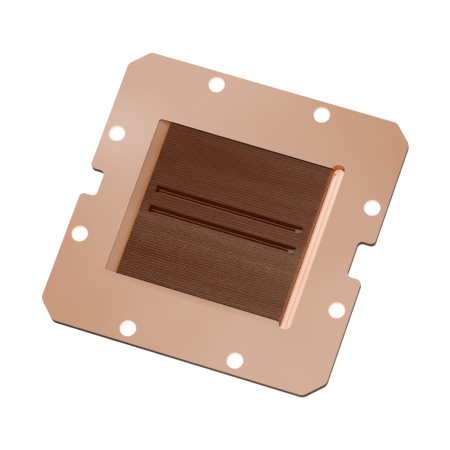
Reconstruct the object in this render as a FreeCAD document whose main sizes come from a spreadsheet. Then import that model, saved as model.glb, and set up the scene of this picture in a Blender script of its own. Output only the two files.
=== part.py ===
import FreeCAD, Part
import math
import os
import Sketcher

# Cold plate of a CPU water block: one piece of copper, machined and skived.
# +Z is up. The origin is the centre of the contact face, which lies on the processor.
# X runs along the fins, and Y runs across them.

# Driving dimensions in millimetres, angles in degrees

SIZES = [
    ("plate_side", 60.0, "square plate, edge to edge"),
    ("plate_thickness", 4.0, "contact face to the top face"),
    ("rim_thickness", 1.8, "thin rim that the screws go through"),
    ("corner_cut", 3.7, "leg of the 45 degree cut at each corner"),
    ("corner_round", 1.5, "rounding where a corner cut meets a side"),
    ("edge_break", 0.15, "small bevel on the rim's outer edges"),
    ("notch_depth", 3.25, "both side notches"),
    ("left_notch_width", 5.6, "narrow notch, beside the ramp"),
    ("right_notch_width", 7.8, "wide notch, beside the slot"),
    ("notch_round", 1.0, "inner and outer corners of the notches"),
    ("hole_count", 8, "screw holes, evenly spaced on one circle"),
    ("hole_inset", 2.84, "plate's side to the nearest screw holes' middles"),
    ("hole_diameter", 3.2, "clearance for an M3 screw"),
    ("sink_diameter", 4.8, "countersink at the rim's underside"),
    ("sink_angle", 90.0, "countersink, side to side"),
    ("contact_inset", 8.0, "plate's side to the raised square that touches the processor"),
    ("contact_round", 5.0, "its vertical corners"),
    ("contact_break", 0.4, "bevel round the contact face"),
    ("fin_count", 61, "skived fins"),
    ("fin_pitch", 0.55, "fin to fin"),
    ("fin_gap", 0.22, "channel between two fins"),
    ("fin_tip", 0.06, "width of a fin's blunt ridge"),
    ("fin_taper", 0.7, "height over which a fin narrows to its ridge"),
    ("channel_depth", 2.6, "top face to a channel's floor"),
    ("run_out", 0.5, "how far the channels cut into the fins' sloping ends"),
    ("slot_inset", 11.8, "plate's side to the slot's middle"),
    ("slot_width", 2.5, "diameter of the slot's cutter"),
    ("slot_overrun", 1.2, "how far the slot passes the fin field at each end"),
    ("slot_depth", 2.9, "top face to the slot's floor"),
    ("ramp_inset", 10.1, "plate's side to the ramp's outer wall"),
    ("ramp_width", 2.5, "ramp, from its outer wall to the fins' ridges"),
    ("ramp_top_depth", 0.65, "ramp's depth at its outer wall"),
    ("ramp_foot_depth", 1.4, "ramp's depth at the fins' foot"),
    ("ramp_foot_run", 0.75, "how far the fins' sloping ends reach into the ramp"),
    ("ramp_round", 0.6, "vertical corners of the ramp's outer wall"),
    ("groove_left_inset", 1.7, "ridges' ends by the ramp to the grooves' left ends"),
    ("groove_right_inset", 1.55, "fins' ends at the slot to the grooves' right ends"),
    ("groove_depth", 1.35, "top face to the shortened fins"),
    ("groove_fins", 2, "fins that each groove shortens"),
    ("groove_gap", 0.01, "clearance to the full fins beside a groove"),
    ("upper_groove_step", 4.5, "fin pitches from the middle of the field, towards +Y"),
    ("lower_groove_step", 3.5, "fin pitches from the middle of the field, towards -Y"),
]

# Places and lengths that follow from the sizes above, as sheet formulas

FORMULAS = [
    ("half_side", "=plate_side / 2"),
    ("rim_underside", "=plate_thickness - rim_thickness"),
    ("notch_floor", "=half_side - notch_depth"),
    ("left_notch_reach", "=left_notch_width / 2"),
    ("right_notch_reach", "=right_notch_width / 2"),
    ("half_contact", "=half_side - contact_inset"),
    ("hole_angle", "=180 / hole_count"),
    ("hole_x", "=half_side - hole_inset"),
    ("hole_y", "=hole_x * tan(hole_angle * 1deg)"),
    ("hole_radius", "=hole_diameter / 2"),
    ("above_top", "=plate_thickness + channel_depth"),
    ("channel_count", "=fin_count + 1"),
    ("channel_travel", "=fin_count * fin_pitch"),
    ("field_width", "=channel_travel + fin_gap"),
    ("slot_place", "=half_side - slot_inset"),
    ("slot_radius", "=slot_width / 2"),
    ("slot_reach", "=field_width / 2 + slot_overrun - slot_radius"),
    ("ramp_left", "=half_side - ramp_inset"),
    ("field_left", "=ramp_left - ramp_width"),
    ("field_right", "=slot_place - slot_radius"),
    ("channel_floor", "=plate_thickness - channel_depth"),
    ("taper_start", "=plate_thickness - fin_taper"),
    ("first_channel", "=channel_travel / 2"),
    ("gap_near", "=first_channel - fin_gap / 2"),
    ("gap_far", "=first_channel + fin_gap / 2"),
    ("flare_near", "=first_channel - (fin_pitch - fin_tip) / 2"),
    ("flare_far", "=first_channel + (fin_pitch - fin_tip) / 2"),
    ("channel_length", "=slot_place + field_left + run_out"),
    ("ramp_foot", "=field_left + ramp_foot_run"),
    ("ramp_top", "=plate_thickness - ramp_top_depth"),
    ("ramp_bottom", "=plate_thickness - ramp_foot_depth"),
    ("groove_radius", "=(groove_fins * fin_pitch + fin_gap) / 2 - groove_gap"),
    ("groove_left_end", "=field_left - groove_left_inset - groove_radius"),
    ("groove_right_end", "=field_right - groove_right_inset - groove_radius"),
    ("upper_groove", "=upper_groove_step * fin_pitch"),
    ("lower_groove", "=lower_groove_step * fin_pitch"),
]

SAME_PLACE = 1e-4  # millimetres within which two places are one


def make_sheet(doc):
    """Fill the spreadsheet: one row for each size, with its name as the alias."""
    sheet = doc.addObject("Spreadsheet::Sheet", "Sizes")
    rows = [(name, str(value), meaning) for name, value, meaning in SIZES]
    rows += [(name, formula, "") for name, formula in FORMULAS]
    for row, (name, content, meaning) in enumerate(rows, start=1):
        sheet.set(f"A{row}", name)
        sheet.set(f"B{row}", content)
        sheet.set(f"C{row}", meaning)
        sheet.setAlias(f"B{row}", name)
    doc.recompute()
    return sheet


def link(term):
    """Turn a size's name, with or without a minus, into an expression."""
    sign = "-" if term.startswith("-") else ""
    return f"{sign}Sizes.{term.lstrip('-')}"


def number(sheet, term):
    """Read a size's present value, with its sign."""
    sign = -1.0 if term.startswith("-") else 1.0
    return sign * float(sheet.get(term.lstrip("-")))


def origin_part(body, role):
    """Find one of the body's own origin planes or axes."""
    return next(item for item in body.Origin.OriginFeatures if item.Role == role)


def new_sketch(body, name, plane, lift=None):
    """Lay a sketch on an origin plane, or on a plane lifted along its normal."""
    sketch = body.newObject("Sketcher::SketchObject", name)
    sketch.AttachmentSupport = [(origin_part(body, plane), "")]
    sketch.MapMode = "FlatFace"
    if lift:
        sketch.setExpression("AttachmentOffset.Base.z", link(lift))
    return sketch


def bind(sketch, constraint, term):
    """Add a constraint whose value follows the sheet."""
    index = sketch.addConstraint(constraint)
    sketch.renameConstraint(index, f"bound_{index}")
    sketch.setExpression(f"Constraints.bound_{index}", link(term))


def pin(sketch, curve, end, place, terms):
    """Fix one point of a curve at the X and the Y that two terms give."""
    bind(sketch, Sketcher.Constraint("DistanceX", -1, 1, curve, end, place[0]), terms[0])
    bind(sketch, Sketcher.Constraint("DistanceY", -1, 1, curve, end, place[1]), terms[1])


def draw_polygon(sketch, sheet, corners):
    """Draw a closed outline, each corner a pair of terms."""
    places = [(number(sheet, across), number(sheet, up)) for across, up in corners]
    points = [FreeCAD.Vector(across, up, 0) for across, up in places]
    first = sketch.GeometryCount
    count = len(corners)
    for index in range(count):
        side = Part.LineSegment(points[index], points[(index + 1) % count])
        sketch.addGeometry(side, False)
    for index in range(count):
        following = first + (index + 1) % count
        sketch.addConstraint(Sketcher.Constraint("Coincident", first + index, 2, following, 1))
        pin(sketch, first + index, 1, places[index], corners[index])


def draw_circle(sketch, sheet, middle, radius):
    """Draw a circle whose middle and radius are terms."""
    place = (number(sheet, middle[0]), number(sheet, middle[1]))
    size = number(sheet, radius)
    up = FreeCAD.Vector(0, 0, 1)
    curve = sketch.addGeometry(Part.Circle(FreeCAD.Vector(*place, 0), up, size), False)
    pin(sketch, curve, 3, place, middle)
    bind(sketch, Sketcher.Constraint("Radius", curve, size), radius)


def draw_square(sketch, sheet, half):
    """Draw a square about the origin from the term for half its side."""
    corners = [(f"-{half}", f"-{half}"), (half, f"-{half}"), (half, half), (f"-{half}", half)]
    draw_polygon(sketch, sheet, corners)


def draw_slot(sketch, sheet, middles, radius, upright):
    """Draw a slot with round ends between two middles, the lower or left one first."""
    places = [(number(sheet, across), number(sheet, up)) for across, up in middles]
    size = number(sheet, radius)
    start = 0.0 if upright else -math.pi / 2
    aligned = "Horizontal" if upright else "Vertical"
    ends = []
    for place, terms, turn in ((places[1], middles[1], 0.0), (places[0], middles[0], math.pi)):
        circle = Part.Circle(FreeCAD.Vector(*place, 0), FreeCAD.Vector(0, 0, 1), size)
        arc = Part.ArcOfCircle(circle, start + turn, start + turn + math.pi)
        curve = sketch.addGeometry(arc, False)
        pin(sketch, curve, 3, place, terms)
        bind(sketch, Sketcher.Constraint("Radius", curve, size), radius)
        sketch.addConstraint(Sketcher.Constraint(aligned, curve, 1, curve, 3))
        sketch.addConstraint(Sketcher.Constraint(aligned, curve, 2, curve, 3))
        ends.append((curve, arc))
    for (curve, arc), (following, next_arc) in (ends, ends[::-1]):
        side = sketch.addGeometry(Part.LineSegment(arc.EndPoint, next_arc.StartPoint), False)
        sketch.addConstraint(Sketcher.Constraint("Coincident", curve, 2, side, 1))
        sketch.addConstraint(Sketcher.Constraint("Coincident", side, 2, following, 1))


def add_pad(doc, body, sketch, name, height):
    """Raise a sketch along +Z by the height that a term gives."""
    pad = body.newObject("PartDesign::Pad", name)
    pad.Profile = sketch
    pad.setExpression("Length", link(height))
    doc.recompute()
    return pad


def must_remove(doc, base, cut):
    """Recompute, and make sure that a cut took material away from its base."""
    doc.recompute()
    if cut.Shape.Volume >= base.Shape.Volume:
        raise RuntimeError(f"{cut.Name} removed nothing")
    return cut


def add_pocket(doc, body, base, sketch, depth, side_type="One side"):
    """Cut a sketch into the body, against its normal or to both sides of it."""
    cut = body.newObject("PartDesign::Pocket", f"{sketch.Name}Cut")
    cut.Profile = sketch
    cut.SideType = side_type
    cut.setExpression("Length", link(depth))
    return must_remove(doc, base, cut)


def repeat(doc, body, cut, kind, name):
    """Start a pattern of one cut, as the body's newest feature."""
    pattern = body.newObject(f"PartDesign::{kind}", name)
    pattern.Originals = [cut]
    body.Tip = pattern
    return pattern


def same(first, second):
    """Tell whether two places are one."""
    return abs(first - second) < SAME_PLACE


def find_edges(feature, test):
    """Name the edges whose bounding boxes pass a test."""
    edges = feature.Shape.Edges
    return [f"Edge{index}" for index, edge in enumerate(edges, start=1) if test(edge.BoundBox)]


def is_upright(box):
    """Tell from its box whether an edge runs along Z."""
    return same(box.XMin, box.XMax) and same(box.YMin, box.YMax)


def is_level(box, height):
    """Tell from its box whether an edge lies at one height."""
    return same(box.ZMin, height) and same(box.ZMax, height)


def dress(doc, body, kind, name, base, edges, size_property, term):
    """Fillet or chamfer the named edges of a feature."""
    feature = body.newObject(f"PartDesign::{kind}", name)
    feature.Base = (base, edges)
    feature.setExpression(size_property, link(term))
    doc.recompute()
    return feature


def make_rim(doc, body, sheet):
    """Square plate with cut and rounded corners, as thin as the rim."""
    sketch = new_sketch(body, "RimOutline", "XY_Plane", "rim_underside")
    draw_square(sketch, sheet, "half_side")
    rim = add_pad(doc, body, sketch, "Rim", "rim_thickness")
    corners = find_edges(rim, is_upright)
    cuts = dress(doc, body, "Chamfer", "CornerCuts", rim, corners, "Size", "corner_cut")
    corners = find_edges(cuts, is_upright)
    return dress(doc, body, "Fillet", "CornerRounds", cuts, corners, "Radius", "corner_round")


def cut_notches(doc, body, sheet, base):
    """Narrow notch at -X and wide notch at +X, so that the plate fits only one way."""
    sketch = new_sketch(body, "Notches", "XY_Plane", "plate_thickness")
    for side, reach in (("-", "left_notch_reach"), ("", "right_notch_reach")):
        floor, mouth = f"{side}notch_floor", f"{side}plate_side"
        corners = [(floor, f"-{reach}"), (mouth, f"-{reach}"), (mouth, reach), (floor, reach)]
        draw_polygon(sketch, sheet, corners)
    notches = add_pocket(doc, body, base, sketch, "rim_thickness")
    reaches = [number(sheet, "left_notch_reach"), number(sheet, "right_notch_reach")]

    def is_notch_corner(box):
        return is_upright(box) and any(same(abs(box.YMin), reach) for reach in reaches)

    corners = find_edges(notches, is_notch_corner)
    return dress(doc, body, "Fillet", "NotchRounds", notches, corners, "Radius", "notch_round")


def break_edges(doc, body, sheet, base):
    """Small bevel round the rim's outline, above and below."""
    heights = [number(sheet, "plate_thickness"), number(sheet, "rim_underside")]
    outline = find_edges(base, lambda box: any(is_level(box, height) for height in heights))
    return dress(doc, body, "Chamfer", "EdgeBreak", base, outline, "Size", "edge_break")


def add_contact_pad(doc, body, sheet):
    """Raised square under the rim, whose lower face touches the processor."""
    sketch = new_sketch(body, "ContactOutline", "XY_Plane")
    draw_square(sketch, sheet, "half_contact")
    pad = add_pad(doc, body, sketch, "ContactPad", "rim_underside")
    reach = number(sheet, "half_contact")

    def is_pad_corner(box):
        return is_upright(box) and same(abs(box.XMin), reach) and same(abs(box.YMin), reach)

    corners = find_edges(pad, is_pad_corner)
    rounds = dress(doc, body, "Fillet", "ContactRounds", pad, corners, "Radius", "contact_round")
    outline = find_edges(rounds, lambda box: is_level(box, 0.0))
    return dress(doc, body, "Chamfer", "ContactBreak", rounds, outline, "Size", "contact_break")


def drill_holes(doc, body, sheet, base):
    """Screw holes on one circle, countersunk from the rim's underside."""
    sketch = new_sketch(body, "FirstHole", "XY_Plane", "rim_underside")
    draw_circle(sketch, sheet, ("hole_x", "hole_y"), "hole_radius")
    doc.recompute()
    hole = body.newObject("PartDesign::Hole", "ScrewHole")
    hole.Profile = sketch
    hole.Reversed = True
    hole.DepthType = "ThroughAll"
    hole.setExpression("Diameter", link("hole_diameter"))
    hole.HoleCutType = "Countersink"
    hole.HoleCutCustomValues = True
    hole.setExpression("HoleCutDiameter", link("sink_diameter"))
    hole.setExpression("HoleCutCountersinkAngle", link("sink_angle"))
    must_remove(doc, base, hole)
    holes = repeat(doc, body, hole, "PolarPattern", "ScrewHoles")
    holes.Axis = (origin_part(body, "Z_Axis"), [""])
    holes.Angle = 360
    holes.setExpression("Occurrences", link("hole_count"))
    return must_remove(doc, hole, holes)


def mill_slot(doc, body, sheet, base):
    """Deep collecting slot with round ends, just past the fins at +X."""
    sketch = new_sketch(body, "Slot", "XY_Plane", "plate_thickness")
    middles = [("slot_place", "-slot_reach"), ("slot_place", "slot_reach")]
    draw_slot(sketch, sheet, middles, "slot_radius", upright=True)
    return add_pocket(doc, body, base, sketch, "slot_depth")


def mill_ramp(doc, body, sheet, base):
    """Ramp that falls towards the fins at -X, and the sloping ends of the fins."""
    sketch = new_sketch(body, "Ramp", "XZ_Plane")
    corners = [
        ("-ramp_left", "above_top"),
        ("-ramp_left", "ramp_top"),
        ("-ramp_foot", "ramp_bottom"),
        ("-field_left", "plate_thickness"),
        ("-field_left", "above_top"),
    ]
    draw_polygon(sketch, sheet, corners)
    ramp = add_pocket(doc, body, base, sketch, "field_width", "Symmetric")
    wall = -number(sheet, "ramp_left")
    corners = find_edges(ramp, lambda box: is_upright(box) and same(box.XMin, wall))
    return dress(doc, body, "Fillet", "RampRounds", ramp, corners, "Radius", "ramp_round")


def skive_fins(doc, body, sheet, base):
    """Fin field: one channel between tapered fins, repeated across the field."""
    sketch = new_sketch(body, "Channel", "YZ_Plane", "slot_place")
    corners = [
        ("-gap_far", "channel_floor"),
        ("-gap_near", "channel_floor"),
        ("-gap_near", "taper_start"),
        ("-flare_near", "plate_thickness"),
        ("-flare_near", "above_top"),
        ("-flare_far", "above_top"),
        ("-flare_far", "plate_thickness"),
        ("-gap_far", "taper_start"),
    ]
    draw_polygon(sketch, sheet, corners)
    channel = add_pocket(doc, body, base, sketch, "channel_length")
    channels = repeat(doc, body, channel, "LinearPattern", "Channels")
    channels.Direction = (origin_part(body, "Y_Axis"), [""])
    channels.setExpression("Length", link("channel_travel"))
    channels.setExpression("Occurrences", link("channel_count"))
    return must_remove(doc, channel, channels)


def mill_grooves(doc, body, sheet, base):
    """Two round-ended grooves along the fins, each of which shortens a few fins."""
    sketch = new_sketch(body, "Grooves", "XY_Plane", "plate_thickness")
    for level in ("upper_groove", "-lower_groove"):
        middles = [("-groove_left_end", level), ("groove_right_end", level)]
        draw_slot(sketch, sheet, middles, "groove_radius", upright=False)
    grooves = add_pocket(doc, body, base, sketch, "groove_depth")
    body.Tip = grooves
    return grooves


def make_cold_plate(doc, sheet):
    """The whole cold plate, in the order in which it is machined."""
    body = doc.addObject("PartDesign::Body", "ColdPlate")
    body.Label = "cold_plate"
    body.Placement = FreeCAD.Placement()
    rim = make_rim(doc, body, sheet)
    notched = cut_notches(doc, body, sheet, rim)
    break_edges(doc, body, sheet, notched)
    blank = add_contact_pad(doc, body, sheet)
    drilled = drill_holes(doc, body, sheet, blank)
    slotted = mill_slot(doc, body, sheet, drilled)
    ramped = mill_ramp(doc, body, sheet, slotted)
    finned = skive_fins(doc, body, sheet, ramped)
    mill_grooves(doc, body, sheet, finned)
    return body


def check(doc, bodies):
    """Stop unless every object is sound and every sub-part is one valid solid."""
    for item in doc.Objects:
        if "Invalid" in item.State or "Error" in item.State:
            raise RuntimeError(f"{item.Name}: {item.State}")
    for body in bodies:
        if body.Shape.isNull() or not body.Shape.isValid() or len(body.Shape.Solids) != 1:
            raise RuntimeError(f"{body.Label} is not one valid solid")


def write(bodies):
    """Write one STEP file for each sub-part, named after it."""
    os.makedirs("parts", exist_ok=True)
    for body in bodies:
        body.Shape.exportStep(f"parts/{body.Label}.step")


def main():
    """Build the document, check it and write its sub-parts."""
    doc = FreeCAD.newDocument("ColdPlateModel")
    sheet = make_sheet(doc)
    bodies = [make_cold_plate(doc, sheet)]
    doc.recompute()
    check(doc, bodies)
    write(bodies)
    for body in bodies:
        print(body.Label, "volume", round(body.Shape.Volume, 2), "faces", len(body.Shape.Faces))


main()
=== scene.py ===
import logging
import math
import random
from collections.abc import Callable
from dataclasses import dataclass
from enum import Enum
from typing import Any

import bmesh
import bpy
from mathutils import Matrix, Quaternion, Vector, noise


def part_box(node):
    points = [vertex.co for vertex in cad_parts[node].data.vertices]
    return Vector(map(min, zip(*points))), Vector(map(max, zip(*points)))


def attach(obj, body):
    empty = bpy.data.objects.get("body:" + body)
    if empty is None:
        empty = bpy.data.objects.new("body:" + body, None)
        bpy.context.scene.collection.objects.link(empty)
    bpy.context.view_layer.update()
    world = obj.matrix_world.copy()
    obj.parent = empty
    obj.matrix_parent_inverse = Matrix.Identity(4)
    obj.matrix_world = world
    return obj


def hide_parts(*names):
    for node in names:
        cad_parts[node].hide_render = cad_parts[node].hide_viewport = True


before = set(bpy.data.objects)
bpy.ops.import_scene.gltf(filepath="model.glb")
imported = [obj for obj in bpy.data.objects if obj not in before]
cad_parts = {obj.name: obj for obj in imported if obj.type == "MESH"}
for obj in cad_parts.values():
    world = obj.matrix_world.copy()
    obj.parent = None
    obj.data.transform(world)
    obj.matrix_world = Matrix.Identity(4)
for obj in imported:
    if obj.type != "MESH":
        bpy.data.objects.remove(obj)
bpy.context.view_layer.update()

# A skived copper cold plate, lit on a pale floor. Sizes are in millimetres and angles in
# degrees. +Z is up from the contact face, X runs along the fins and Y runs across them.

MM = 0.001
NODE = "cold_plate"
LOG = logging.getLogger("cold_plate")
SAME_PLACE = 1e-4  # millimetres within which two places on the plate are one
SAME_POINT = 1e-6  # millimetres within which two points of a path are one
STRAIGHT = 1e-6  # radians of turn below which a path runs straight on
ROUND_STEP = 9.0  # most that a large rounding turns between two points
BREAK_STEP = 30.0  # the same for a broken edge or a small fillet
FEWEST_STEPS = 2  # the least that any rounding takes
SHARP_ANGLE = 40.0  # turn between two faces that shows as an edge
FLAT_WEIGHT = 90  # how far large faces set the shading of the small roundings beside them
DEEP_BOUNCES = 12  # light goes from wall to wall many times before it leaves a channel

Pair = tuple[float, float]
Triple = tuple[float, float, float]
Ring = list[bmesh.types.BMVert]
Tree = bpy.types.NodeTree
Socket = bpy.types.NodeSocket


def add_object(name: str, data: bpy.types.ID) -> bpy.types.Object:
    """Make an object of a mesh or a camera, and link it to the scene."""
    made = bpy.data.objects.new(name, data)
    bpy.context.scene.collection.objects.link(made)
    return made


class Finish(Enum):
    """How each stretch of the copper was made, in the order of the material slots."""

    LAPPED = 0
    FACED = 1
    PUNCHED = 2
    DRILLED = 3
    SIDE_CUT = 4
    BRIGHT = 5
    DULLED = 6
    BEVELLED = 7
    SKIVED = 8
    SAWN = 9
    SMEARED = 10


# Plan outlines and wall profiles


@dataclass(frozen=True)
class Corner:
    """A corner of an outline or a profile, with the radius that rounds it."""

    across: float
    up: float
    radius: float = 0.0


class Path:
    """A run of points through rounded corners, with the way out to its right at each."""

    def __init__(
        self, corners: list[Corner], closed: bool = True, step: float = ROUND_STEP
    ) -> None:
        """Lay the points.

        Args:
            corners: The corners in order, anticlockwise where the path is closed.
            closed: Whether the last corner joins the first.
            step: The most that a rounded corner turns between two points, in degrees.
        """
        self.closed = closed
        self.places: list[Vector] = []
        self.outward: list[Vector] = []
        self.legs: list[int] = []
        last = len(corners) - 1
        for index, corner in enumerate(corners):
            before = corners[index - 1] if closed or index else None
            after = corners[(index + 1) % len(corners)] if closed or index < last else None
            self._turn(index, before, corner, after, math.radians(step))
        if closed and (self.places[0] - self.places[-1]).length < SAME_POINT:
            self.places.pop()
            self.outward.pop()
            self.legs.pop()

    def _turn(
        self,
        leg: int,
        before: Corner | None,
        corner: Corner,
        after: Corner | None,
        step: float,
    ) -> None:
        """Add the points of one corner.

        Args:
            leg: The number of the straight stretch that follows the corner.
            before: The corner before it, if any.
            corner: The corner.
            after: The corner after it, if any.
            step: The most that the path turns between two points, in radians.
        """
        place = Vector((corner.across, corner.up))
        arriving = place - Vector((before.across, before.up)) if before else None
        leaving = Vector((after.across, after.up)) - place if after else arriving
        arriving = (arriving or leaving).normalized()
        leaving = leaving.normalized()
        turn = math.atan2(arriving.cross(leaving), arriving.dot(leaving))
        out = Vector((arriving.y, -arriving.x))
        if corner.radius == 0 or abs(turn) < STRAIGHT:
            far = Vector((leaving.y, -leaving.x))
            self._add(leg, place, (out + far) / (1 + out.dot(far)))
            return
        side = math.copysign(corner.radius, turn)
        start = place - arriving * corner.radius * math.tan(abs(turn) / 2)
        centre = start - out * side
        steps = max(FEWEST_STEPS, math.ceil(abs(turn) / step))
        for index in range(steps + 1):
            spoke = Matrix.Rotation(turn * index / steps, 2) @ out
            self._add(leg, centre + spoke * side, spoke)

    def _add(self, leg: int, place: Vector, outward: Vector) -> None:
        """Add a point, unless the last one is there already."""
        if self.places and (self.places[-1] - place).length < SAME_POINT:
            return
        self.places.append(place)
        self.outward.append(outward)
        self.legs.append(leg)

    def grown(self, by: float) -> list[Vector]:
        """The path's points moved to its right by one distance."""
        return [place + out * by for place, out in zip(self.places, self.outward)]


def rounded_square(across: float, up: float, side: float, radius: float) -> Path:
    """An anticlockwise square with rounded corners, or a circle where they meet.

    Args:
        across: Its middle's X.
        up: Its middle's Y.
        side: Half its side.
        radius: The radius of its corners.

    Returns:
        The square as a closed path.
    """
    signs = ((-1, -1), (1, -1), (1, 1), (-1, 1))
    return Path([Corner(across + x * side, up + y * side, radius) for x, y in signs])


def edge_profile(*corners: Corner) -> Path:
    """A wall's profile, with its small roundings in a few steps."""
    return Path(list(corners), closed=False, step=BREAK_STEP)


# The mesh that every feature adds its faces to


class CopperMesh:
    """The faces of one piece of copper, each with its finish."""

    def __init__(self) -> None:
        """Start with no faces."""
        self.bm = bmesh.new()

    def ring(self, places: list[Vector], height: float) -> Ring:
        """Vertices at the points of a plan, all at one height."""
        return [self.bm.verts.new((place.x, place.y, height)) for place in places]

    def face(self, corners: Ring, finish: Finish) -> None:
        """A face in one finish."""
        made = self.bm.faces.new(corners)
        made.material_index = finish.value
        made.smooth = True

    def band(self, first: Ring, second: Ring, finish: Finish, closed: bool = True) -> None:
        """Join two rows of vertices by a row of faces.

        Args:
            first: The row on the right hand of the faces' way along.
            second: The other row, with as many vertices.
            finish: The faces' finish.
            closed: Whether the rows are rings.
        """
        count = len(first)
        for here in range(count if closed else count - 1):
            there = (here + 1) % count
            self.face([first[here], first[there], second[there], second[here]], finish)

    def sweep(self, plan: Path, profile: Path, finishes: list[Finish]) -> tuple[Ring, Ring]:
        """Build a wall round a plan.

        Args:
            plan: The wall's outline from above.
            profile: How far out of the plan the wall stands, and its height, upwards for
                a wall that faces out and downwards for one that faces in.
            finishes: One finish for each straight stretch of the profile.

        Returns:
            The first and the last ring.
        """
        rings = [self.ring(plan.grown(place.x), place.y) for place in profile.places]
        for index, (lower, upper) in enumerate(zip(rings, rings[1:])):
            self.band(lower, upper, finishes[profile.legs[index]], plan.closed)
        return rings[0], rings[-1]

    def fill(self, rings: list[Ring], up: bool, finish: Finish) -> None:
        """Close the flat area between rings.

        Args:
            rings: The outer ring and those of the holes in it.
            up: Whether the area faces up.
            finish: Its finish.
        """
        edges = []
        for ring in rings:
            pairs = zip(ring, ring[1:] + ring[:1])
            edges += [self.bm.edges.get(pair) or self.bm.edges.new(pair) for pair in pairs]
        normal = (0, 0, 1 if up else -1)
        made = bmesh.ops.triangle_fill(
            self.bm, use_beauty=True, use_dissolve=False, edges=edges, normal=normal
        )
        for item in made["geom"]:
            if isinstance(item, bmesh.types.BMFace):
                item.material_index = finish.value
                item.smooth = True
                if (item.normal.z > 0) != up:
                    item.normal_flip()

    def grid(
        self, rows: list[list[Vector]], finish: Callable[[int, int], Finish]
    ) -> list[Ring]:
        """Join rows of points, each row along +Y and the rows in order along +X.

        Args:
            rows: The points, the same number in each row.
            finish: Gives a face's finish from its row and its column.

        Returns:
            The rows of vertices.
        """
        made = [[self.bm.verts.new(point) for point in row] for row in rows]
        for row, (first, second) in enumerate(zip(made, made[1:])):
            for column in range(len(first) - 1):
                near, far = second[column : column + 2], first[column : column + 2]
                self.face([*near, *far[::-1]], finish(row, column))
        return made

    def make_object(self, name: str) -> bpy.types.Object:
        """Turn the faces into an object in metres.

        Args:
            name: The object's name.

        Returns:
            The object, linked to the scene.
        """
        bmesh.ops.remove_doubles(self.bm, verts=self.bm.verts, dist=SAME_PLACE)
        mesh = bpy.data.meshes.new(name)
        self.bm.to_mesh(mesh)
        self.bm.free()
        mesh.transform(Matrix.Scale(MM, 4))
        mesh.set_sharp_from_angle(angle=math.radians(SHARP_ANGLE))
        made = add_object(name, mesh)
        flat_faces = made.modifiers.new("flat_faces", "WEIGHTED_NORMAL")
        flat_faces.keep_sharp = True
        flat_faces.weight = FLAT_WEIGHT
        return made


# The plate's features, each with its own sizes


@dataclass(frozen=True)
class Rim:
    """The square plate: its outline with cut corners and notches, and both its faces."""

    half: float
    top: float
    thickness: float = 1.8
    corner_cut: float = 3.7
    corner_round: float = 1.5
    notch_depth: float = 3.25
    left_notch: float = 5.6
    right_notch: float = 7.8
    notch_round: float = 1.0
    upper_break: float = 0.07
    lower_break: float = 0.18
    margin: float = 0.3  # the flat strip beside the edge

    @property
    def underside(self) -> float:
        """Height of the rim's lower face."""
        return self.top - self.thickness

    def outline(self) -> Path:
        """The plate from above."""
        half, near = self.half, self.half - self.corner_cut
        floor, turn, notch = half - self.notch_depth, self.corner_round, self.notch_round
        corners = []
        for way, width in ((1, self.right_notch), (-1, self.left_notch)):
            side = [
                (near, -half, turn),
                (half, -near, turn),
                (half, -width / 2, notch),
                (floor, -width / 2, notch),
                (floor, width / 2, notch),
                (half, width / 2, notch),
                (half, near, turn),
                (near, half, turn),
            ]
            corners += [Corner(way * x, way * y, radius) for x, y, radius in side]
        return Path(corners)

    def build(self, copper: CopperMesh) -> tuple[Ring, Ring]:
        """Build the punched edge.

        Args:
            copper: The mesh that takes the faces.

        Returns:
            The ring in the lower face and the ring in the upper one.
        """
        edge = edge_profile(
            Corner(-self.margin, self.underside),
            Corner(0.0, self.underside, self.lower_break),
            Corner(0.0, self.top, self.upper_break),
            Corner(-self.margin, self.top),
        )
        finishes = [Finish.FACED, Finish.PUNCHED, Finish.LAPPED]
        return copper.sweep(self.outline(), edge, finishes)


@dataclass(frozen=True)
class ScrewHoles:
    """Holes on one circle, countersunk from the underside."""

    rim: Rim
    count: int = 8
    inset: float = 2.84
    radius: float = 1.6
    sink_radius: float = 2.4
    upper_break: float = 0.08
    lower_break: float = 0.05
    upper_margin: float = 0.25
    lower_margin: float = 0.1

    def build(self, copper: CopperMesh) -> tuple[list[Ring], list[Ring]]:
        """Build the walls of all the holes.

        Args:
            copper: The mesh that takes the faces.

        Returns:
            The rings in the lower face and those in the upper one.
        """
        first = math.pi / self.count
        circle_radius = (self.rim.half - self.inset) / math.cos(first)
        flare = self.sink_radius - self.radius
        under = self.rim.underside
        wall = edge_profile(
            Corner(self.upper_margin, self.rim.top),
            Corner(0.0, self.rim.top, self.upper_break),
            Corner(0.0, under + flare, self.lower_break),
            Corner(flare, under, self.lower_break),
            Corner(flare + self.lower_margin, under),
        )
        finishes = [Finish.LAPPED, Finish.DRILLED, Finish.DRILLED, Finish.FACED]
        lower, upper = [], []
        for index in range(self.count):
            angle = first + index * math.tau / self.count
            across, up = circle_radius * math.cos(angle), circle_radius * math.sin(angle)
            plan = rounded_square(across, up, self.radius, self.radius)
            top_ring, low_ring = copper.sweep(plan, wall, finishes)
            upper.append(top_ring)
            lower.append(low_ring)
        return lower, upper


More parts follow.
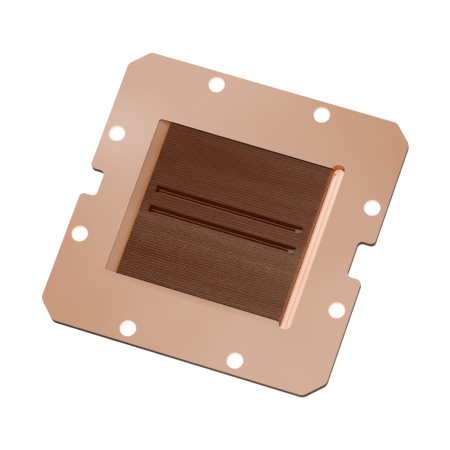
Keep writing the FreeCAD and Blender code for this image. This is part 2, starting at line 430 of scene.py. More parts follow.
@dataclass(frozen=True)
class ContactPad:
    """The raised square below the rim, whose face lies on the processor."""

    rim: Rim
    inset: float = 8.0
    corner_round: float = 5.0
    edge_break: float = 0.4
    bevel_round: float = 0.1
    fillet: float = 0.2
    margin: float = 0.4

    def build(self, copper: CopperMesh) -> Ring:
        """Build the pad's walls and its face.

        Args:
            copper: The mesh that takes the faces.

        Returns:
            The ring that meets the rim's lower face.
        """
        plan = rounded_square(0.0, 0.0, self.rim.half - self.inset, self.corner_round)
        wall = edge_profile(
            Corner(-self.edge_break - self.margin, 0.0),
            Corner(-self.edge_break, 0.0, self.bevel_round),
            Corner(0.0, self.edge_break, self.bevel_round),
            Corner(0.0, self.rim.underside, self.fillet),
            Corner(self.margin, self.rim.underside),
        )
        finishes = [Finish.LAPPED, Finish.SIDE_CUT, Finish.SIDE_CUT, Finish.FACED]
        face_ring, rim_ring = copper.sweep(plan, wall, finishes)
        copper.fill([face_ring], up=False, finish=Finish.LAPPED)
        return rim_ring


@dataclass(frozen=True)
class Pocket:
    """The opening in the top face: ramp, fin field and slot, and the slot's own walls."""

    top: float
    half_width: float
    ramp_left: float
    fins_right: float
    slot_width: float
    slot_overrun: float = 1.2
    slot_depth: float = 2.9
    ramp_round: float = 0.6
    edge_break: float = 0.07
    lip: float = 0.2  # depth of the wall below the edge that all three stretches share
    margin: float = 0.25
    floor_round: float = 0.2
    seam_depth: float = 0.05  # the line that the cutter left along the slot's middle
    seam_inset: float = 1.1

    @property
    def lip_height(self) -> float:
        """Height at which the rounded edge has become a plain wall."""
        return self.top - self.lip

    @property
    def slot_ends(self) -> list[Corner]:
        """The slot's four rounded corners, anticlockwise from the fins' near side."""
        long, turn = self.half_width + self.slot_overrun, self.slot_overrun
        near, far = self.fins_right, self.fins_right + self.slot_width
        places = ((near, -long), (far, -long), (far, long), (near, long))
        return [Corner(x, y, turn) for x, y in places]

    def opening(self) -> Path:
        """The whole opening from above."""
        left, near, wide = -self.ramp_left, self.fins_right, self.half_width
        first = [Corner(left, -wide, self.ramp_round), Corner(near, -wide)]
        last = [Corner(near, wide), Corner(left, wide, self.ramp_round)]
        return Path([*first, *self.slot_ends, *last])

    def slot_plan(self, whole: bool) -> Path:
        """The slot from above.

        Args:
            whole: Whether the side where the fins end is part of it.

        Returns:
            The outline, closed where it is whole.
        """
        if whole:
            return Path(self.slot_ends)
        near, wide = self.fins_right, self.half_width
        corners = [Corner(near, -wide), *self.slot_ends, Corner(near, wide)]
        return Path(corners, closed=False)

    def build(self, copper: CopperMesh, channel_floor: float) -> Ring:
        """Build the opening's rounded edge and the slot.

        Args:
            copper: The mesh that takes the faces.
            channel_floor: Height of the channels' floor, below which the slot is whole.

        Returns:
            The ring in the top face.
        """
        edge = edge_profile(
            Corner(self.margin, self.top),
            Corner(0.0, self.top, self.edge_break),
            Corner(0.0, self.lip_height),
        )
        top_ring, _ = copper.sweep(self.opening(), edge, [Finish.LAPPED, Finish.BRIGHT])
        wall = edge_profile(Corner(0.0, self.lip_height), Corner(0.0, channel_floor))
        copper.sweep(self.slot_plan(whole=False), wall, [Finish.SIDE_CUT])
        floor = self.top - self.slot_depth
        foot = edge_profile(
            Corner(0.0, channel_floor),
            Corner(0.0, floor, self.floor_round),
            Corner(-self.seam_inset, floor),
            Corner(-self.seam_inset - self.seam_depth, floor - self.seam_depth),
        )
        finishes = [Finish.SIDE_CUT, Finish.BRIGHT, Finish.BRIGHT]
        _, seam = copper.sweep(self.slot_plan(whole=True), foot, finishes)
        copper.fill([seam], up=True, finish=Finish.BRIGHT)
        return top_ring


@dataclass(frozen=True)
class Ramp:
    """The floor that falls towards the fins, and the slope of the fins' own ends."""

    pocket: Pocket
    top_depth: float = 0.65
    foot_depth: float = 1.4
    width: float = 2.5
    foot_run: float = 0.75  # length of the fins' sloping ends
    run_out: float = 0.15  # how far the channels run into them
    fillet: float = 0.12
    steps: int = 10

    @property
    def ridge_left(self) -> float:
        """Distance from the plate's middle to the ridges' left ends."""
        return self.pocket.ramp_left - self.width

    @property
    def channel_left(self) -> float:
        """Distance from the plate's middle to the channels' left ends."""
        return self.ridge_left + self.run_out

    def slope(self, x: float) -> float:
        """Height of the fins' sloping ends at a place along the fins."""
        foot = -self.ridge_left - self.foot_run
        rise = (x - foot) / self.foot_run * self.foot_depth
        return self.pocket.top - self.foot_depth + rise

    def floor(self, x: float) -> float:
        """Height of the ramp's floor at a place along the fins."""
        run = self.width - self.foot_run
        fall = (x + self.pocket.ramp_left) / run * (self.foot_depth - self.top_depth)
        return self.pocket.top - self.top_depth - fall

    def row(self, x: float, floor: float) -> list[Vector]:
        """One row of points across the ramp.

        Args:
            x: Its place along the fins.
            floor: Its height.

        Returns:
            The points, from the lip at one side to the lip at the other.
        """
        turn, lip = self.pocket.ramp_round, self.pocket.lip_height
        inside = min(turn, x + self.pocket.ramp_left)
        rounding = math.sqrt(max(0.0, turn**2 - (turn - inside) ** 2))
        reach = self.pocket.half_width - turn + rounding
        rise = min(self.fillet, lip - floor)
        near = reach - rise
        half = [(reach, lip), (reach, floor + rise), (near, floor)]
        low = [Vector((x, -y, z)) for y, z in half]
        high = [Vector((x, y, z)) for y, z in reversed(half)]
        return [*low, *high]

    def build(self, copper: CopperMesh) -> None:
        """Build the ramp from its outer wall to the channels' ends."""
        left, lip, turn = -self.pocket.ramp_left, self.pocket.lip_height, self.pocket.ramp_round
        foot, end = -self.ridge_left - self.foot_run, -self.channel_left
        angles = [math.pi / 2 * index / self.steps for index in range(self.steps + 1)]
        rounded = [left + turn * (1 - math.cos(angle)) for angle in angles]
        rows = [self.row(left, lip)]
        rows += [self.row(x, self.floor(x)) for x in rounded]
        rows += [self.row(foot, self.floor(foot)), self.row(end, self.slope(end))]
        last = len(rows) - 2
        sides = (0, len(rows[0]) - 2)

        def finish(row: int, column: int) -> Finish:
            """Lapped at the brow, bevelled at the fins' ends and dulled between them."""
            if row == 0:
                return Finish.LAPPED
            return Finish.BEVELLED if row == last and column not in sides else Finish.DULLED

        copper.grid(rows, finish)


@dataclass(frozen=True)
class Spot:
    """One point of the comb's cross-section, and the fin that it belongs to."""

    y: float
    z: float
    fin: int | None = None


@dataclass(frozen=True)
class Station:
    """A place along the fins, and how much of the grooves' full depth is cut there.

    The fin on a groove's near side, towards -Y, is cut by a share of its own.
    """

    x: float
    cut: float = 0.0
    near_cut: float = 0.0
    smeared: bool = False


@dataclass(frozen=True)
class FinField:
    """The skived fins, all one surface with the channels between them."""

    pocket: Pocket
    ramp: Ramp
    count: int
    pitch: float
    gap: float
    tip: float = 0.05
    taper: float = 0.7
    flank: Pair = (0.45, 0.5)  # shares of the taper's width and of its height
    ridge: tuple[Pair, ...] = ((1.6, 1.0), (0.9, 0.25))  # half tips outwards and downwards
    root_round: float = 0.05
    channel_depth: float = 2.6
    groove_depth: float = 1.35
    groove_fins: tuple[tuple[int, int], ...] = ((4, 5), (-4, -3))  # fins cut short by each
    groove_left_inset: float = 1.7
    groove_right_inset: float = 1.7
    run_in: float = 1.2
    run_in_steps: int = 8
    run_in_haste: float = 1.5  # how much sooner the fin on the far side is cut in full
    web: float = 1.6  # length of the smeared copper at a groove's right end
    # Shares of the web's length, and of the grooves' depth that is left open there
    web_rise: tuple[Pair, ...] = ((0.1, 1.0), (0.4, 0.93), (0.7, 0.83), (0.92, 0.7))
    lean: float = 0.012  # the most at a fin's tip
    wander: float = 0.01
    wander_scale: Pair = (0.12, 0.7)  # noise per millimetre along, and per fin
    shortfall: float = 0.03
    short_from: float = 0.8  # share of a fin's height above which it falls short
    slope_steps: int = 4
    behind_ridge: float = 0.4
    before_end: float = 0.05
    station_step: float = 1.4
    seed: int = 11

    @property
    def fins(self) -> range:
        """The fins' numbers from the near one to the far one, 0 in the middle."""
        return range(-(self.count // 2), self.count // 2 + 1)

    @property
    def channel_floor(self) -> float:
        """Height of the channels' floor."""
        return self.pocket.top - self.channel_depth

    @property
    def groove_radius(self) -> float:
        """Half the width of a groove: its fins and the channels beside them."""
        return (len(self.groove_fins[0]) * self.pitch + self.gap) / 2

    def section(self) -> list[Spot]:
        """The comb's cross-section, along +Y from wall to wall."""
        side, floor, turn = self.pocket.half_width, self.channel_floor, self.root_round
        root, tip = (self.pitch - self.gap) / 2, self.tip / 2
        shoulder, crown = self.pocket.top - self.taper, self.pocket.top
        width, height = self.flank
        half = [
            (root + turn, floor),
            (root, floor + turn),
            (root, (floor + shoulder) / 2),
            (root, shoulder),
            (tip + (root - tip) * width, shoulder + self.taper * height),
            *((tip * out, crown - tip * down) for out, down in self.ridge),
        ]
        lip = self.pocket.lip_height
        wall = [Spot(side, lip), Spot(side, floor + turn), Spot(side - turn, floor)]
        spots = [Spot(-spot.y, spot.z) for spot in wall]
        for fin in self.fins:
            middle = fin * self.pitch
            spots += [Spot(middle - y, z, fin) for y, z in half]
            spots.append(Spot(middle, crown, fin))
            spots += [Spot(middle + y, z, fin) for y, z in reversed(half)]
        return spots + wall[::-1]

    def stations(self) -> list[Station]:
        """The places along the fins where the cross-section is laid."""
        start, ridge, end = -self.ramp.channel_left, -self.ramp.ridge_left, self.pocket.fins_right
        left, right = ridge + self.groove_left_inset, end - self.groove_right_inset
        count = self.slope_steps
        slope = [start + (ridge - start) * index / count for index in range(count + 1)]
        stations = [Station(x) for x in slope]
        stations += [Station(ridge + self.behind_ridge), Station(left)]
        for index in range(1, self.run_in_steps + 1):
            share = index / self.run_in_steps
            # The cutter is round, so its way in is steep at first and then level
            early = min(1.0, share * self.run_in_haste)
            cuts = [1 - (1 - part) ** 2 for part in (early, share)]
            stations.append(Station(left + self.run_in * share, *cuts))
        near, far = left + self.run_in + self.station_step / 2, right - self.web
        count = round((far - near) / self.station_step)
        steps = [near + (far - near) * index / count for index in range(count + 1)]
        stations += [Station(x, 1.0, 1.0) for x in steps]
        for share, cut in self.web_rise:
            stations.append(Station(far + self.web * share, cut, cut, True))
        last = (right, (right + end) / 2, end - self.before_end, end)
        return stations + [Station(x) for x in last]

    def cut(self, fin: int, station: Station) -> float:
        """How much of the grooves' full depth is cut off a fin at a place along it."""
        if any(fin == fins[0] for fins in self.groove_fins):
            return station.near_cut
        return station.cut if any(fin in fins for fins in self.groove_fins) else 0.0

    def off_groove(self, y: float) -> float:
        """How far a place lies from the middle of the nearest groove, towards +Y."""
        middles = [sum(fins) / len(fins) * self.pitch for fins in self.groove_fins]
        return min((y - middle for middle in middles), key=abs)

    def in_web(self, y: float) -> bool:
        """Whether a place across the fins lies in the smeared web at a groove's end."""
        low = -self.pitch / 2 - SAME_PLACE
        return low < self.off_groove(y) < self.groove_radius - self.gap + SAME_PLACE

    def place(self, spot: Spot, station: Station, leans: dict[int, Pair]) -> Vector:
        """Lay one point of the cross-section.

        Args:
            spot: The point of the cross-section.
            station: The place along the fins.
            leans: How far each fin leans, and how far it falls short of the top.

        Returns:
            The point.
        """
        x, y, z = station.x, spot.y, spot.z
        if spot.fin is None:
            return Vector((x, y, z))
        share = (z - self.channel_floor) / self.channel_depth
        lean, short = leans[spot.fin]
        along, per_fin = self.wander_scale
        drift = noise.noise(Vector((x * along, spot.fin * per_fin, self.seed)))
        y += (lean + drift * self.wander) * share**2
        z -= short * max(0.0, share - self.short_from) / (1 - self.short_from)
        depth = self.groove_depth * self.cut(spot.fin, station)
        z -= (z - self.channel_floor) * depth / self.channel_depth
        if station.smeared and self.in_web(spot.y):
            z = self.pocket.top - self.groove_depth * station.cut
        return Vector((x, y, min(z, max(self.channel_floor, self.ramp.slope(x)))))

    def finish_rule(
        self, spots: list[Spot], stations: list[Station]
    ) -> Callable[[int, int], Finish]:
        """Settle which faces are milled, sawn, smeared or skived.

        Args:
            spots: The points of the cross-section.
            stations: The places along the fins, which are the rows from the second on.

        Returns:
            A function that gives a face's finish from its row and its column.
        """
        walls = (0, len(spots) - 2)
        cut = [row for row, station in enumerate(stations, 1) if station.cut]
        smeared = [row for row, station in enumerate(stations, 1) if station.smeared][:-1]
        reach = self.groove_radius + (self.pitch - self.gap) / 2 + SAME_PLACE

        def finish(row: int, column: int) -> Finish:
            """Milled at both side walls, dark in the grooves, and skived between them."""
            if column in walls:
                return Finish.SIDE_CUT
            edges = (spots[column].y, spots[column + 1].y)
            off = max(abs(self.off_groove(y)) for y in edges)
            if off > reach or not cut[0] - 1 <= row <= cut[-1]:
                return Finish.SKIVED
            webbed = row in smeared and all(self.in_web(y) for y in edges)
            return Finish.SMEARED if webbed else Finish.SAWN

        return finish

    def build(self, copper: CopperMesh) -> None:
        """Build the comb, the channels' end walls and the fins' ends."""
        dice = random.Random(self.seed)
        leans = {
            fin: (dice.uniform(-self.lean, self.lean), dice.uniform(0, self.shortfall))
            for fin in self.fins
        }
        spots, stations = self.section(), self.stations()
        start = stations[0].x
        brink = [Vector((start, spot.y, self.ramp.slope(start))) for spot in spots]
        brink[0].z = brink[-1].z = self.pocket.lip_height
        rows = [[self.place(spot, station, leans) for spot in spots] for station in stations]
        made = copper.grid([brink, *rows], self.finish_rule(spots, stations))
        for fin in self.fins:
            face = [vert for vert, spot in zip(made[-1], spots) if spot.fin == fin]
            copper.face(face[::-1], Finish.SIDE_CUT)


@dataclass(frozen=True)
class ColdPlate:
    """The whole cold plate, sized by the CAD model's box."""

    half: float
    thickness: float
    fin_count: int = 61
    fin_pitch: float = 0.55
    fin_gap: float = 0.22
    slot_inset: float = 11.8  # from the plate's right side to the slot's middle
    slot_width: float = 2.5
    ramp_inset: float = 10.1  # from the plate's left side to the ramp

    def build(self) -> bpy.types.Object:
        """Build the mesh from all the features.

        Returns:
            The piece, without its materials.
        """
        copper = CopperMesh()
        rim = Rim(self.half, self.thickness)
        pocket = Pocket(
            top=self.thickness,
            half_width=(self.fin_count * self.fin_pitch + self.fin_gap) / 2,
            ramp_left=self.half - self.ramp_inset,
            fins_right=self.half - self.slot_inset - self.slot_width / 2,
            slot_width=self.slot_width,
        )
        ramp = Ramp(pocket)
        fins = FinField(pocket, ramp, self.fin_count, self.fin_pitch, self.fin_gap)
        lower, upper = rim.build(copper)
        low_holes, top_holes = ScrewHoles(rim).build(copper)
        pad_ring = ContactPad(rim).build(copper)
        opening = pocket.build(copper, fins.channel_floor)
        ramp.build(copper)
        fins.build(copper)
        copper.fill([upper, opening, *top_holes], up=True, finish=Finish.LAPPED)
        copper.fill([lower, pad_ring, *low_holes], up=False, finish=Finish.FACED)
        return copper.make_object("cold_plate_copper")


# Finishes


def linear(shade: str) -> tuple[float, float, float, float]:
    """Turn an sRGB hex value into linear colour.

    Args:
        shade: The colour as "#rrggbb".

    Returns:
        Red, green, blue and an alpha of 1.
    """
    parts = [int(shade[index : index + 2], 16) / 255 for index in (1, 3, 5)]
    red, green, blue = (
        part / 12.92 if part <= 0.04045 else ((part + 0.055) / 1.055) ** 2.4 for part in parts
    )
    return red, green, blue, 1.0


def empty_tree(owner: bpy.types.Material | bpy.types.World) -> Tree:
    """The node tree of a material or a world, with no nodes in it."""
    owner.use_nodes = True
    owner.node_tree.nodes.clear()
    return owner.node_tree


def add_node(
    tree: Tree,
    kind: str,
    settings: dict[str | int, Any] | None = None,
    links: dict[str | int, Socket] | None = None,
) -> bpy.types.Node:
    """Add a node with its settings and links.

    Args:
        tree: The material's or the world's node tree.
        kind: The node's type, without "ShaderNode".
        settings: Properties, and unlinked inputs by name or number.
        links: The sockets that feed its inputs, by the input's name or number.

    Returns:
        The node.
    """
    node = tree.nodes.new(f"ShaderNode{kind}")
    for name, value in (settings or {}).items():
        if isinstance(name, int) or name in node.inputs:
            node.inputs[name].default_value = value
        else:
            setattr(node, name, value)
    for name, socket in (links or {}).items():
        tree.links.new(socket, node.inputs[name])
    return node


def distance_from(
    tree: Tree,
    place: Socket,
    middle: Triple,
    share: Triple = (1.0, 1.0, 1.0),
) -> Socket:
    """Measure how far a place lies from a point.

    Args:
        tree: The material's node tree.
        place: The place on the plate, in metres.
        middle: The point, in millimetres.
        share: How much a millimetre counts along X, Y and Z, 0 for an axis left out.

    Returns:
        The distance.
    """
    scale = tuple(by / MM for by in share)
    shift = tuple(-part * by for part, by in zip(middle, share))
    settings = {"operation": "MULTIPLY_ADD", 1: scale, 2: shift}
    moved = add_node(tree, "VectorMath", settings, {0: place})
    length = add_node(tree, "VectorMath", {"operation": "LENGTH"}, {0: moved.outputs[0]})
    return length.outputs["Value"]


def mottle(
    tree: Tree, place: Socket, sizes: Triple, shift: float = 0.0, detail: float = 2.0
) -> Socket:
    """Lay a noise with a size of its own along each axis.

    Args:
        tree: The material's node tree.
        place: The place on the plate, in metres.
        sizes: The noise's size along X, Y and Z, in millimetres.
        shift: How far the noise is moved along Y, in its own sizes.
        detail: How many finer noises lie over it.

    Returns:
        A value from 0 to 1.
    """
    scale = tuple(1 / (size * MM) for size in sizes)
    settings = {"operation": "MULTIPLY_ADD", 1: scale, 2: (0.0, shift, 0.0)}
    sized = add_node(tree, "VectorMath", settings, {0: place})
    pattern = add_node(
        tree, "TexNoise", {"Scale": 1.0, "Detail": detail}, {"Vector": sized.outputs[0]}
    )
    return pattern.outputs["Fac"]


@dataclass(frozen=True)
class BareCopper:
    """Bare copper: pale where it is fresh, deeper where it has tarnished, with a fine grain."""

    name: str
    pale: str
    deep: str
    roughness: float
    grain: Triple
    grain_height: float = 0.002
    uneven: float = 0.2  # share by which the marks change the roughness
    glance: str = "#ffffff"  # tint of what the surface mirrors at a low angle
    cloud: float = 14.0
    cloud_detail: float = 3.0
    tarnish: Pair = (0.35, 0.7)  # the noise's values at pale and at deep

    def age(self, tree: Tree, place: Socket) -> Socket:
        """How far the copper has tarnished.

        Args:
            tree: The material's node tree.
            place: The place on the plate, in metres.

        Returns:
            A value from 0, pale, to 1, deep.
        """
        first, last = self.tarnish
        spread = add_node(
            tree,
            "MapRange",
            {"From Min": first, "From Max": last},
            {"Value": mottle(tree, place, (self.cloud,) * 3, detail=self.cloud_detail)},
        )
        return spread.outputs[0]

    def colour(self, tree: Tree, place: Socket) -> Socket:
        """The colour, pale to deep by tarnish, and by painted shade in some finishes.

        Args:
            tree: The material's node tree.
            place: The place on the plate, in metres.

        Returns:
            The colour.
        """
        mixed = add_node(
            tree,
            "Mix",
            {"data_type": "RGBA", 6: linear(self.pale), 7: linear(self.deep)},
            {0: self.age(tree, place)},
        )
        return mixed.outputs[2]

    def build(self) -> bpy.types.Material:
        """Make the material.

        Returns:
            The material.
        """
        material = bpy.data.materials.new(self.name)
        tree = empty_tree(material)
        place = add_node(tree, "TexCoord").outputs["Object"]
        marks = mottle(tree, place, self.grain)
        change = self.roughness * self.uneven
        rough = add_node(
            tree,
            "MapRange",
            {"To Min": self.roughness - change, "To Max": self.roughness + change},
            {"Value": marks},
        )
        bump = add_node(
            tree, "Bump", {"Strength": 1.0, "Distance": self.grain_height * MM}, {"Height": marks}
        )
        metal = add_node(
            tree,
            "BsdfPrincipled",
            {"Metallic": 1.0, "Specular Tint": linear(self.glance)},
            {
                "Base Color": self.colour(tree, place),
                "Roughness": rough.outputs[0],
                "Normal": bump.outputs[0],
            },
        )
        add_node(tree, "OutputMaterial", links={"Surface": metal.outputs[0]})
        return material


@dataclass(frozen=True)
class LappedCopper(BareCopper):
    """Copper lapped flat on a plate with fine grit, with painted shade towards two of its corners.

    The painted shade grows with the product of X and Y, from minus the square of one length,
    where it is least, to the square of another, in the corners.
    """

    cloud_share: float = 0.1
    middling: float = 0.53  # the value where the painted shade is least
    # The painted shade towards two corners: where it is least, and where it is most.
    unshaded_reach: float = 14.0
    corner: float = 26.0
    corner_shade_share: float = 0.4
    # A painted highlight: pale round a point left of the middle, fading out by its radius.
    highlight_middle: Triple = (-26.0, 12.0, 4.0)
    highlight_radius: float = 13.0
    highlight_share: float = 0.27
    # A painted shadow along the opening's near edge, below the fins.
    painted_shadow: Pair = (24.0, 1.5)  # half its length, and half its width
    shadow_middle: float = -17.0  # the opening's near edge
    shadow_share: float = 0.37

    def age(self, tree: Tree, place: Socket) -> Socket:
        """The clouds, painted shade towards two corners, a painted highlight and a painted shadow.

        Args:
            tree: The material's node tree.
            place: The place on the plate, in metres.

        Returns:
            A value from 0, pale, to 1, deep.
        """
        clouds = BareCopper.age(self, tree, place)
        parts = add_node(tree, "SeparateXYZ", links={0: place}).outputs
        product = add_node(tree, "Math", {"operation": "MULTIPLY"}, {0: parts["X"], 1: parts["Y"]})
        # Painted shade, darker towards the corners where X and Y have the same sign.
        corners = add_node(
            tree,
            "MapRange",
            {
                "From Min": -((self.unshaded_reach * MM) ** 2),
                "From Max": (self.corner * MM) ** 2,
                "To Min": self.middling,
                "To Max": self.middling + self.corner_shade_share,
            },
            {"Value": product.outputs[0]},
        )
        both = add_node(
            tree,
            "Math",
            {"operation": "MULTIPLY_ADD", 1: self.cloud_share},
            {0: clouds, 2: corners.outputs[0]},
        )
        # Painted highlight, paler round that point.
        painted_highlight = add_node(
            tree,
            "MapRange",
            {
                "interpolation_type": "SMOOTHSTEP",
                "From Max": self.highlight_radius,
                "To Min": self.highlight_share,
                "To Max": 0.0,
            },
            {"Value": distance_from(tree, place, self.highlight_middle)},
        )
        # Painted shadow, darker along the opening's near edge.
        long, wide = self.painted_shadow
        middle, share = (0.0, self.shadow_middle, 0.0), (1 / long, 1 / wide, 0.0)
        painted_shadow = add_node(
            tree,
            "MapRange",
            {"To Min": self.shadow_share, "To Max": 0.0},
            {"Value": distance_from(tree, place, middle, share)},
        )
        shadowed = add_node(
            tree, "Math", {"operation": "ADD"}, {0: both.outputs[0], 1: painted_shadow.outputs[0]}
        )
        age = add_node(
            tree,
            "Math",
            {"operation": "SUBTRACT", "use_clamp": True},
            {0: shadowed.outputs[0], 1: painted_highlight.outputs[0]},
        )
        return age.outputs[0]


@dataclass(frozen=True)
class GradedCopper(BareCopper):
    """Copper that goes from pale to deep with the distance from a point, or from a level."""

    middle: Triple = (0.0, 0.0, 0.0)
    share: Triple = (1.0, 1.0, 1.0)
    reach: Pair = (28.0, 8.0)  # distances at which it is pale, and deep

    def age(self, tree: Tree, place: Socket) -> Socket:
        """How deep the copper's colour is, by distance.

        Args:
            tree: The material's node tree.
            place: The place on the plate, in metres.

        Returns:
            A value from 0, pale, to 1, deep.
        """
        pale, deep = self.reach
        away = distance_from(tree, place, self.middle, self.share)
        graded = add_node(tree, "MapRange", {"From Min": pale, "From Max": deep}, {"Value": away})
        return graded.outputs[0]


@dataclass(frozen=True)
class SkivedCopper(GradedCopper):
    """Copper shaved into fins by a blade: fresh in the channels, dull and brown at the tips.

    Painted sheen lies over some groups of fins, in bands along them, paler and greyer.
    """

    # The paler, greyer colours where sheen is painted on the fins.
    sheen_pale: str = "#fbe6d0"
    sheen_deep: str = "#a27c62"
    share: Triple = (0.0, 0.0, 1.0)
    reach: Pair = (3.4, 4.0)  # heights where the fins start to dull, and where they are dullest
    band: Triple = (70.0, 4.0, 70.0)
    band_shift: float = 5.6  # place in the noise, which settles where the bands lie
    band_share: float = 1.1
    sheen_band: float = -4.0  # middle of the strongest band, across the fins
    sheen_band_reach: float = 7.0
    sheen_band_share: float = 0.48
    sheen: float = 0.35  # how much painted sheen there is in the middle of the field
    sheen_right: float = 0.015  # more for each millimetre towards +X
    sheen_near: float = 0.014  # more for each millimetre towards -Y

    def colour(self, tree: Tree, place: Socket) -> Socket:
        """The colour, pale to deep, paler and greyer where sheen is painted.

        Args:
            tree: The material's node tree.
            place: The place on the plate, in metres.

        Returns:
            The colour.
        """
        # Painted sheen: in bands along the fins, more towards +X and -Y, most round one band.
        slant = add_node(
            tree,
            "VectorMath",
            {"operation": "DOT_PRODUCT", 1: (self.sheen_right / MM, -self.sheen_near / MM, 0.0)},
            {0: place},
        )
        away = distance_from(tree, place, (0.0, self.sheen_band, 0.0), (0.0, 1.0, 0.0))
        sheen_band = add_node(
            tree,
            "MapRange",
            {
                "interpolation_type": "SMOOTHSTEP",
                "From Max": self.sheen_band_reach,
                "To Min": self.sheen - self.band_share / 2 + self.sheen_band_share,
                "To Max": self.sheen - self.band_share / 2,
            },
            {"Value": away},
        )
        lifted = add_node(
            tree, "Math", {"operation": "ADD"}, {0: slant.outputs["Value"], 1: sheen_band.outputs[0]}
        )
        sheen = add_node(
            tree,
            "Math",
            {"operation": "MULTIPLY_ADD", 1: self.band_share, "use_clamp": True},
            {0: mottle(tree, place, self.band, self.band_shift), 2: lifted.outputs[0]},
        )
        fresh, dull = (
            add_node(
                tree,
                "Mix",
                {"data_type": "RGBA", 6: linear(clean), 7: linear(with_sheen)},
                {0: sheen.outputs[0]},
            )
            for clean, with_sheen in ((self.pale, self.sheen_pale), (self.deep, self.sheen_deep))
        )
        mixed = add_node(
            tree,
            "Mix",
            {"data_type": "RGBA"},
            {0: self.age(tree, place), 6: fresh.outputs[2], 7: dull.outputs[2]},
        )
        return mixed.outputs[2]


# Colours are sRGB: pale where the copper is fresh, deep where it is old or shade is painted.
# Grain is in millimetres along X, Y and Z. The real marks of grit, cutter and blade are a few
# hundredths of a millimetre wide, too fine to show, so they are drawn 0.15 to 0.5 mm wide.
FINISHES = {
    # Bare copper lapped on a fine stone: an even satin face, with painted shade towards two
    # corners.
    Finish.LAPPED: LappedCopper(
        "lapped_copper", "#e8cdbf", "#ca9a7c", 0.3, (0.3, 0.3, 0.3), 0.0005
    ),
    # Bare copper faced with a wide cutter: straight fine lines along X, drawn 3 mm long.
    Finish.FACED: BareCopper("faced_copper", "#e2bda8", "#d5a88e", 0.4, (3.0, 0.3, 0.3)),
    # Bare copper sheared: brown edges with upright drag marks, painted dark as the shade they
    # mirror, and nearly black round one corner where more shade is painted.
    Finish.PUNCHED: GradedCopper(
        "punched_copper_painted_shade",
        "#5e4737",
        "#2f221a",
        0.5,
        (0.3, 0.3, 2.0),
        glance="#cbc0b6",
        # painted shade, darkest round the near left corner
        middle=(-22.0, -30.0, 3.0),
    ),
    # Bare copper fresh from the drill: nearly white slivers with rings round the bore.
    Finish.DRILLED: BareCopper("drilled_copper", "#fdeee4", "#fbe6d8", 0.3, (2.0, 2.0, 0.15)),
    # Bare copper cut with a mill's side: warm orange walls with upright tool marks.
    Finish.SIDE_CUT: BareCopper(
        "side_cut_copper", "#c4834a", "#b87640", 0.3, (0.3, 0.3, 2.0), glance="#ffe0bc"
    ),
    # Bare copper cut with a new mill's end: a bright, almost pink slot with marks along it.
    Finish.BRIGHT: BareCopper("end_cut_copper", "#ffddc9", "#fbd0b8", 0.1, (0.3, 2.0, 0.3)),
    # Bare copper milled early and dulled since: a tan ramp with long marks across the fins.
    Finish.DULLED: BareCopper("dulled_copper", "#bf9175", "#b07e5e", 0.3, (0.3, 3.0, 0.3)),
    # Bare copper bevelled last of all: a clean strip, orange from the walls it mirrors.
    Finish.BEVELLED: BareCopper(
        "bevelled_copper", "#ffd8aa", "#ffd09c", 0.42, (0.3, 0.6, 0.3)
    ),
    # Bare copper shaved by a blade: brown stripes, red between the fins, greyed by painted sheen.
    Finish.SKIVED: SkivedCopper("skived_copper", "#ecbc95", "#976349", 0.55, (6.0, 0.5, 0.5)),
    # Bare copper sawn through: red walls, painted darker as shade in the groove, and a lighter
    # line on the stumps, whose tops stand 2.55 mm up.
    Finish.SAWN: GradedCopper(
        "sawn_copper_painted_shade",
        "#da9266",
        "#984c2a",
        0.55,
        (3.0, 0.5, 0.5),
        # painted shade: deeper away from the stumps' tops
        middle=(0.0, 0.0, 2.55),
        share=(0.0, 0.0, 1.0),
        reach=(0.15, 0.4),
    ),
    # Bare copper smeared by the saw where it left the cut: a spot painted warm grey as a
    # highlight.
    Finish.SMEARED: BareCopper("smeared_copper_painted_highlight", "#a28b7a", "#947c6b", 0.45, (1.0, 0.3, 0.3)),
}


# Camera, light and floor


@dataclass(frozen=True)
class PhotoCamera:
    """A long lens that looks steeply down on the plate, turned about its own axis."""

    aim: Triple = (0.17, -0.89, 4.0)
    azimuth: float = 32.48
    elevation: float = 69.86
    roll: float = -14.39
    distance: float = 737.42
    focal_length: float = 295.2
    sensor: float = 36.0

    def build(self) -> None:
        """Make the camera and give it to the scene."""
        data = bpy.data.cameras.new("photo_camera")
        data.lens = self.focal_length
        data.sensor_width = self.sensor
        made = add_object("photo_camera", data)
        turn, lift = math.radians(self.azimuth), math.radians(self.elevation)
        level = math.cos(lift)
        back = Vector((math.sin(turn) * level, -math.cos(turn) * level, math.sin(lift)))
        made.location = (Vector(self.aim) + back * self.distance) * MM
        made.rotation_mode = "QUATERNION"
        roll = Quaternion((0, 0, 1), math.radians(self.roll))
        made.rotation_quaternion = back.to_track_quat("Z", "Y") @ roll
        bpy.context.scene.camera = made


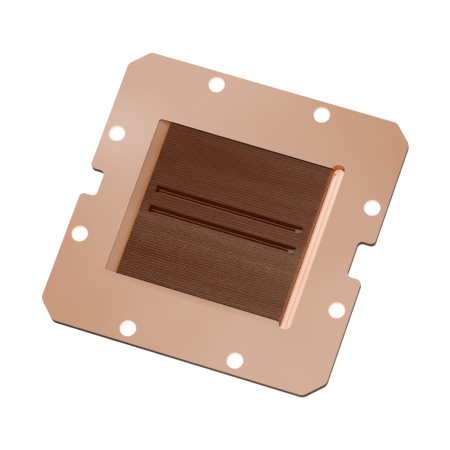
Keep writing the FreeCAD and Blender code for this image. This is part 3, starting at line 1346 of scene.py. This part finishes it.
@dataclass(frozen=True)
class Studio:
    """A pale floor under a white sky that lights the plate from above."""

    floor_side: float = 6000.0
    floor_shade: str = "#929292"
    floor_glow: float = 0.87  # what the floor adds where it is seen or mirrored
    sky: float = 1.2
    horizon: float = 0.35
    full_from: float = 0.6  # height in the sky from which it is at its brightest

    def build_floor(self) -> None:
        """Make the floor, white where it is seen or mirrored."""
        half = self.floor_side / 2 * MM
        mesh = bpy.data.meshes.new("floor")
        corners = [(-half, -half, 0), (half, -half, 0), (half, half, 0), (-half, half, 0)]
        mesh.from_pydata(corners, [], [(0, 1, 2, 3)])
        material = bpy.data.materials.new("pale_floor")
        tree = empty_tree(material)
        matt = add_node(tree, "BsdfDiffuse", {"Color": linear(self.floor_shade)})
        path = add_node(tree, "LightPath").outputs
        seen = path["Is Camera Ray"]
        for ray in ("Is Glossy Ray", "Is Transmission Ray"):
            either = add_node(tree, "Math", {"operation": "MAXIMUM"}, {0: seen, 1: path[ray]})
            seen = either.outputs[0]
        level = add_node(tree, "Math", {"operation": "MULTIPLY", 1: self.floor_glow}, {0: seen})
        glow = add_node(tree, "Emission", links={"Strength": level.outputs[0]})
        both = add_node(tree, "AddShader", links={0: matt.outputs[0], 1: glow.outputs[0]})
        add_node(tree, "OutputMaterial", links={"Surface": both.outputs[0]})
        mesh.materials.append(material)
        add_object("floor", mesh)

    def build_sky(self) -> None:
        """Light the scene with a white sky that dims towards the horizon."""
        world = bpy.data.worlds.new("sky")
        tree = empty_tree(world)
        way = add_node(tree, "TexCoord").outputs["Generated"]
        up = add_node(tree, "SeparateXYZ", links={0: way}).outputs["Z"]
        level = add_node(
            tree,
            "MapRange",
            {
                "interpolation_type": "SMOOTHSTEP",
                "From Max": self.full_from,
                "To Min": self.horizon,
                "To Max": self.sky,
            },
            {"Value": up},
        )
        glow = add_node(tree, "Background", links={"Strength": level.outputs[0]})
        add_node(tree, "OutputWorld", links={"Surface": glow.outputs[0]})
        bpy.context.scene.world = world


def main() -> None:
    """Build the plate, its finishes and the studio."""
    logging.basicConfig(level=logging.INFO, format="%(name)s: %(message)s")
    low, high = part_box(NODE)
    plate = ColdPlate(half=(high.x - low.x) / 2 / MM, thickness=(high.z - low.z) / MM).build()
    for finish in Finish:
        plate.data.materials.append(FINISHES[finish].build())
    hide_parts(NODE)
    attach(plate, "root")
    LOG.info("plate has %d faces", len(plate.data.polygons))
    studio = Studio()
    studio.build_floor()
    studio.build_sky()
    PhotoCamera().build()
    bpy.context.scene.view_settings.view_transform = "Standard"
    bpy.context.scene.cycles.glossy_bounces = DEEP_BOUNCES


if __name__ == "__main__":
    main()
